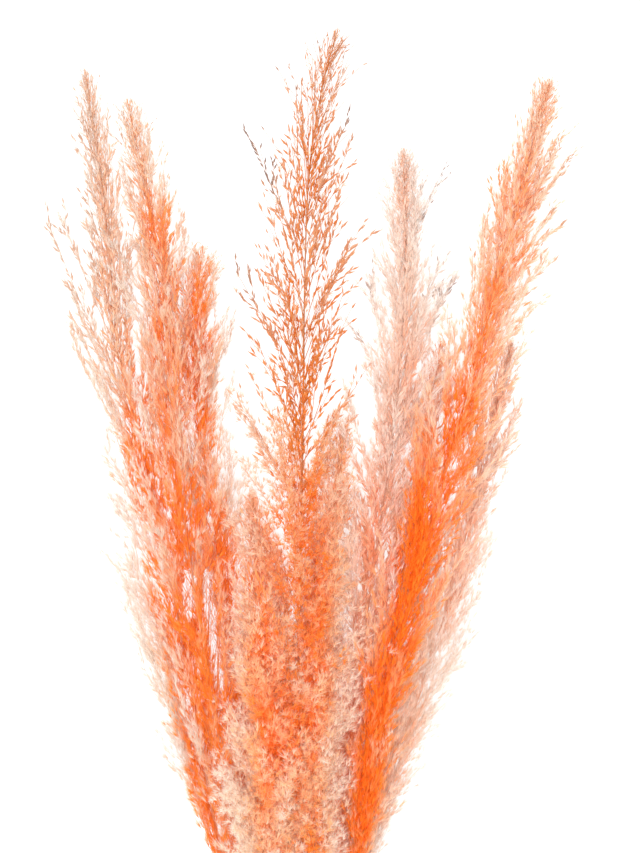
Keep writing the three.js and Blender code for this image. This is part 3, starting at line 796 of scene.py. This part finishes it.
def cane_radius(line, distance):
    radii = (CANE_RADIUS_CUT, CANE_RADIUS_TIE, CANE_RADIUS_TOP)
    return float(np.interp(distance, (0, line.tie_at, line.base_at), radii))


def cane_sections(line, draws):
    """Distance, radius, darkness (the joints', and painted shade in the hollow) and pith of a cane's
    rings, from the hollow of its cut end.
    """
    joints = [(place + stray * next(draws)) * line.base_at for place, stray in JOINTS]
    first = END_PROFILE[0][0]
    rings = [d for d in np.linspace(first, line.base_at, CANE_RINGS)
             if all(abs(d - joint) > JOINT_CLEAR for joint in joints)]
    sections = [(d, cane_radius(line, d), 0.0, 0.0) for d in rings]
    for joint in joints:
        for off, swell, dark in JOINT_PROFILE:
            sections.append((joint + off, cane_radius(line, joint) * swell, dark, 0.0))
    sections.sort()
    return [(d, CANE_RADIUS_CUT * share, dark, pith) for d, share, dark, pith in END_PROFILE] + sections


def cane_mesh(name, line, draws):
    """A cane from its hollow cut end to where its plume begins."""
    points, faces, joint, pith = [], [], [], []
    sections = cane_sections(line, draws)
    for distance, radius, dark, inner in sections:
        middle, forward, side, up = line.frame_at(distance)
        for k in range(CANE_SIDES):
            turn = 2 * math.pi * k / CANE_SIDES
            points.append(middle + radius * (side * math.cos(turn) + up * math.sin(turn)))
        joint.extend([dark] * CANE_SIDES)
        pith.extend([inner] * CANE_SIDES)
    for i in range(len(sections) - 1):
        for k in range(CANE_SIDES):
            a, b = i * CANE_SIDES + k, i * CANE_SIDES + (k + 1) % CANE_SIDES
            faces.append((a, a + CANE_SIDES, b + CANE_SIDES, b))
    faces.append(tuple(range(CANE_SIDES)))
    faces.append(tuple(reversed(range(len(points) - CANE_SIDES, len(points)))))
    mesh = bpy.data.meshes.new(name)
    mesh.from_pydata([tuple(p) for p in points], [], faces)
    # The joint values are the joints' darkness and the painted shade at the bottom of the hollow
    keep_values(mesh, {"joint": joint, "pith": pith})
    mesh.shade_smooth()
    return mesh


def cane_material():
    """Dry straw cane: fine streaks along it, dark joints, pale pith and a blush of dye at its top."""
    shader, surface = new_material("straw_cane")
    place = shader.add("ShaderNodeTexCoord").outputs["Object"]
    stretched = shader.add("ShaderNodeMapping", Vector=place, Scale=STRAW_GRAIN).outputs[0]
    streaks = shader.add("ShaderNodeTexNoise", Vector=stretched, Scale=1.0, Detail=4.0).outputs[0]
    blots = shader.add("ShaderNodeTexNoise", Vector=place, Scale=BLOT_SCALE, Detail=2.0).outputs[0]
    straw = shader.blend(shader.ramp(streaks, 0.35, 0.65), *STRAW)
    straw = shader.blend(shader.ramp(blots, 0.55, 0.75), straw, BLOT)
    height = shader.add("ShaderNodeSeparateXYZ", Vector=place).outputs["Y"]
    blush = shader.ramp(height, MIDDLE[1] + TOP_START, MIDDLE[1] + TOP_END)
    dyed = shader.blend(shader.math("MULTIPLY", blush, TOP_DYED), straw, TOP_DYE)
    # Dark joints, and painted shade at the bottom of the cut end's hollow, which the pith colour covers
    ringed = shader.blend(shader.attribute("joint"), dyed, JOINT_DARK_AND_HOLLOW_SHADE)
    colour = shader.blend(shader.attribute("pith"), ringed, PITH)
    bump = shader.add("ShaderNodeBump", Height=streaks, Distance=0.0004, Strength=0.5).outputs[0]
    shader.fill(surface, Base_Color=colour, Normal=bump, Roughness=0.48)
    return shader.material


def make_canes():
    finish = cane_material()
    for index, name in enumerate(STALKS):
        miss = CUT_UNEVEN * (2 * next(random_from(101 + index)) - 1)
        mesh = cane_mesh("straw_" + name, StalkLine(name, miss), random_from(500 + index))
        piece = new_object(mesh.name, mesh)
        mesh.materials.append(finish)
        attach(piece, "root")
        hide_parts("cane_" + name)


def twine_paths():
    """The middle lines of the twine: its turns, its knot and its two tails."""
    turns = np.linspace(0, TWINE_TURNS, TWINE_TURNS * TURN_POINTS)
    a = 2 * math.pi * turns + math.pi / 2
    across, high = TIE_INNER_X + TWINE / 2, TIE_INNER_Z + TWINE / 2
    y = (turns / TWINE_TURNS - 0.5) * TWINE * (TWINE_TURNS - 1) + 0.0002 * np.sin(3 * a)
    coil = np.column_stack([across * np.cos(a), y, TIE_HEIGHT + high * np.sin(a)])
    top = TIE_HEIGHT + TIE_INNER_Z + TWINE
    t = np.linspace(0, 2 * math.pi, KNOT_POINTS)
    knot = np.column_stack([np.sin(t) + 2 * np.sin(2 * t), np.cos(t) - 2 * np.cos(2 * t),
                            -1.2 * np.sin(3 * t)])
    knot = knot * TWINE * KNOT_SIZE + (0, 0, top + TWINE * KNOT_RAISED)
    tails = [smooth_path(np.array([(way * x, way * y, top + z) for x, y, z in TAIL])) for way in (-1, 1)]
    return [path + MIDDLE for path in (coil, knot, *tails)]


def plied(path, strands, rng):
    """Adds three plies twisted round a line, and loose fibres that stand off them."""
    along = lengths_along(path)
    count = max(8, int(along[-1] / PLY_STEP))
    even = np.linspace(0, along[-1], count)
    line = np.column_stack([np.interp(even, along, path[:, k]) for k in range(3)])
    forward = np.gradient(line, axis=0)
    forward /= np.linalg.norm(forward, axis=1)[:, None]
    side = np.cross(forward, (0.0, 1.0, 0.05))
    side /= np.linalg.norm(side, axis=1)[:, None]
    up = np.cross(side, forward)
    for ply in range(PLIES):
        turn = 2 * math.pi * (even / PLY_PITCH + ply / PLIES)
        off = side * np.cos(turn)[:, None] + up * np.sin(turn)[:, None]
        strands.add(line + off * TWINE * PLY_OFF, thick=TWINE * PLY_THICK,
                    shade=ply / PLIES + 0.1 * rng.random())
    for _ in range(int(along[-1] / FIBRE_GAP)):
        i = rng.randrange(count - 1)
        turn = rng.uniform(0, 2 * math.pi)
        off = side[i] * math.cos(turn) + up[i] * math.sin(turn)
        reach = rng.uniform(*FIBRE_REACH)
        foot = line[i] + off * TWINE * FIBRE_FOOT
        tip = foot + off * reach * 0.5 + forward[i] * reach * rng.choice((-1, 1))
        strands.add([foot, mix(foot, tip, 0.5) + off * 0.0002, tip], thick=FIBRE_THICK, shade=rng.random())


def twine_material():
    """Natural jute twine: twisted fibres in uneven browns."""
    shader, surface = new_material("jute_twine")
    place = shader.add("ShaderNodeTexCoord").outputs["Object"]
    fibres = shader.add("ShaderNodeTexNoise", Vector=place, Scale=JUTE_GRAIN, Detail=3.0).outputs[0]
    mixed = shader.math("ADD", shader.math("MULTIPLY", shader.attribute("shade"), 0.35), fibres)
    colour = shader.blend(shader.ramp(mixed, 0.35, 0.95), *JUTE)
    bump = shader.add("ShaderNodeBump", Height=fibres, Distance=0.0003, Strength=0.6).outputs[0]
    shader.fill(surface, Base_Color=colour, Normal=bump, Roughness=0.95, Specular_IOR_Level=0.15)
    return shader.material


def make_tie(tree):
    rng = random.Random("twine")
    strands = Strands("thick", "shade")
    for path in twine_paths():
        plied(path, strands, rng)
    piece = grown("twisted_twine", strands.mesh("twine_strands"), tree,
                  {"Stem sides": PLY_SIDES, "Tuft spacing": 1.0, "Finish": twine_material()})
    lay_on_floor(piece.data)
    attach(piece, "root")
    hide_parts("twine_tie")


def lay_on_floor(mesh):
    """No point of the mesh goes below the floor."""
    places = np.empty(len(mesh.vertices) * 3, np.float32)
    mesh.vertices.foreach_get("co", places)
    places = places.reshape(-1, 3)
    places[:, 2] = np.maximum(places[:, 2], LOWEST)
    mesh.vertices.foreach_set("co", places.ravel())
    mesh.update()


class Shader(Nodes):
    """The nodes of a material or of a shader group."""

    def attribute(self, name):
        return self.add("ShaderNodeAttribute", {"attribute_name": name}).outputs["Fac"]

    def blend(self, factor, a, b):
        """A colour that goes from a to b."""
        node = self.add("ShaderNodeMix", {"data_type": "RGBA"}, Factor=factor, A=a, B=b)
        return next(s for s in node.outputs if s.enabled)

    def ramp(self, value, low, high):
        """0 below the low value, 1 above the high one, and a soft step between them."""
        return self.add("ShaderNodeMapRange", {"interpolation_type": "SMOOTHSTEP"}, Value=value,
                        From_Min=low, From_Max=high).outputs[0]


def new_material(name):
    """The nodes of a new material, and its main shader."""
    material = bpy.data.materials.new(name)
    material.use_nodes = True
    shader = Shader(material.node_tree)
    shader.material = material
    return shader, material.node_tree.nodes["Principled BSDF"]


def dye_group():
    """The dye of a plume: strong deep inside, washed out at the hair tips, in uneven streaks."""
    group = bpy.data.node_groups.new("plume dye", "ShaderNodeTree")
    for label in DYE_COLOURS:
        group.interface.new_socket(label, in_out="INPUT", socket_type="NodeSocketColor")
    for label in (*DYE_VALUES, "Ashen"):
        group.interface.new_socket(label, in_out="INPUT", socket_type="NodeSocketFloat")
    group.interface.new_socket("Colour", in_out="OUTPUT", socket_type="NodeSocketColor")
    shader = Shader(group)
    given = group.nodes.new("NodeGroupInput").outputs
    place = shader.add("ShaderNodeTexCoord").outputs["Object"]
    stretched = shader.add("ShaderNodeMapping", Vector=place, Scale=STREAK_SCALE).outputs[0]
    streaks = shader.add("ShaderNodeTexNoise", Vector=stretched, Scale=1.0, Detail=3.0).outputs[0]
    uneven = shader.math("MULTIPLY", shader.math("SUBTRACT", streaks, 0.5), STREAKS)
    own = shader.math("MULTIPLY", shader.math("SUBTRACT", given["Shade"], 0.5), OWN_SHADE)
    tip = shader.math("MULTIPLY", given["Hair"], TIP_WASH)
    level = shader.math("ADD", shader.math("ADD", given["Depth"], uneven), shader.math("ADD", own, tip))
    body = shader.blend(shader.ramp(level, *BODY_DEPTH), given["Deep"], given["Body"])
    whole = shader.blend(shader.ramp(level, *EDGE_DEPTH), body, given["Edge"])
    hidden = shader.math("MULTIPLY", given["Fluffy"], HUSK_HIDDEN)
    husk = shader.blend(shader.math("SUBTRACT", HUSK, hidden), whole, given["Spikelet"])
    outer = shader.math("ADD", given["Depth"], shader.math("MULTIPLY", given["Shade"], 0.5))
    foot = shader.ramp(given["Hair"], *ASHEN_FOOT)
    ashen = shader.math("MULTIPLY", shader.ramp(outer, *ASHEN_OUT), foot)
    high = shader.math("MULTIPLY", given["Ashen"], shader.ramp(given["High"], *ASHEN_HIGH))
    spikelet = shader.blend(shader.math("MULTIPLY", ashen, high), husk, given["Ash"])
    colour = shader.blend(shader.ramp(given["Hair"], *HAIR_STARTS), spikelet, whole)
    shader.fill(group.nodes.new("NodeGroupOutput"), Colour=colour)
    return group


def plume_material(dye, group):
    """Dry, silky plume: a soft sheen, with light coming through its thin hairs."""
    shader, surface = new_material("plume_" + dye)
    *colours, ashen = DYES[dye]
    inputs = {label: (*colour, 1.0) for label, colour in zip(DYE_COLOURS, (*colours, ASH))}
    inputs.update({label: shader.attribute(label.lower()) for label in DYE_VALUES})
    dyed = shader.add("ShaderNodeGroup", {"node_tree": group}, Ashen=ashen, **inputs)
    colour = dyed.outputs["Colour"]
    shader.fill(surface, Base_Color=colour, Roughness=0.75, Specular_IOR_Level=0.2)
    through = shader.add("ShaderNodeBsdfTranslucent", Color=colour)
    blend = shader.add("ShaderNodeMixShader")
    for value, socket in zip((LIGHT_THROUGH, surface.outputs[0], through.outputs[0]), blend.inputs):
        shader.join(value, socket)
    shader.fill(shader.tree.nodes["Material Output"], Surface=blend.outputs[0])
    return shader.material


def slit_lines():
    """The slits between plumes, as a mesh of lines on the floor."""
    strands = Strands()
    for x1, y1, x2, y2 in SLITS:
        strands.add([MIDDLE + (x1, y1, 0), MIDDLE + (x2, y2, 0)])
    return new_object("slits", strands.mesh("slits"))


def make_plumes(tree):
    dye = dye_group()
    slits = slit_lines()
    tufts = {kind: tuft_collection(kind) for kind in TUFTS}
    finishes = {name: plume_material(name, dye) for name in DYES}
    for index, (name, look) in enumerate(LOOKS.items()):
        strands = plume_strands(name, StalkLine(name))
        kind = look["kind"]
        piece = grown("fluff_" + name, strands.mesh("strands_" + name), tree, {
            "Stem sides": 3, "Tuft spacing": strands.budded_length() / look["tufts"],
            "Scatter": TUFTS[kind]["scatter"], "Seed": 10 * index,
            "Fluffy tufts": tufts[kind], "Fluffy lean": TUFTS[kind]["lean"],
            "Bare tufts": tufts["bare"], "Bare lean": TUFTS["bare"]["lean"],
            "Finish": finishes[look["dye"]], "Slits": slits, "Slit clear": SLIT_CLEAR,
        })
        lay_on_floor(piece.data)
        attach(piece, "root")
        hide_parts("plume_" + name)
    for group in tufts.values():
        for tuft in list(group.objects):
            bpy.data.objects.remove(tuft)
        bpy.data.collections.remove(group)
    bpy.data.objects.remove(slits)


def make_floor():
    mesh = bpy.data.meshes.new("floor")
    corners = [(-1, -1, 0), (1, -1, 0), (1, 1, 0), (-1, 1, 0)]
    mesh.from_pydata(np.array(corners) * FLOOR_REACH, [], [(0, 1, 2, 3)])
    floor = new_object("floor", mesh)
    shader, surface = new_material("pale_floor")
    shader.fill(surface, Base_Color=FLOOR_GREY, Emission_Color=(1, 1, 1, 1), Emission_Strength=FLOOR_GLOW,
                Roughness=0.9, Specular_IOR_Level=0.0)
    mesh.materials.append(shader.material)


def make_lights():
    world = bpy.data.worlds.new("studio")
    bpy.context.scene.world = world
    world.use_nodes = True
    sky = Nodes(world.node_tree)
    sky.fill(world.node_tree.nodes["Background"], Color=SKY, Strength=SKY_STRENGTH)
    lamp = bpy.data.lights.new("soft_key", "AREA")
    lamp.size = LAMP_SIZE
    lamp.energy = LAMP_POWER
    key = new_object("soft_key", lamp)
    key.location = LAMP_PLACE
    key.rotation_euler = [math.radians(turn) for turn in LAMP_TURN]
    sun = bpy.data.lights.new("soft_front", "SUN")
    sun.energy = SUN_STRENGTH
    sun.angle = math.radians(SUN_WIDTH)
    above = new_object("soft_front", sun)
    above.location = (0, 0, SUN_HEIGHT)


def follow_light_through_hairs():
    """Thin pale hairs pass light on many times, and go grey between them if it's cut short."""
    cycles = bpy.context.scene.cycles
    cycles.diffuse_bounces = BOUNCES
    cycles.transmission_bounces = BOUNCES
    cycles.max_bounces = BOUNCES


def make_camera():
    camera = bpy.data.cameras.new("camera")
    camera.sensor_fit = "VERTICAL"
    camera.sensor_height = SENSOR
    camera.lens = SENSOR * (CAMERA_HEIGHT - VIEW_LEVEL) / VIEW_TALL
    camera.clip_end = 20
    holder = new_object("camera", camera)
    holder.location = (MIDDLE[0] + VIEW_X, MIDDLE[1] + VIEW_Y, CAMERA_HEIGHT)
    bpy.context.scene.camera = holder
    bpy.context.scene.view_settings.view_transform = "Standard"


make_camera()
follow_light_through_hairs()
make_lights()
make_floor()
growth = growth_tree()
make_plumes(growth)
make_canes()
make_tie(growth)
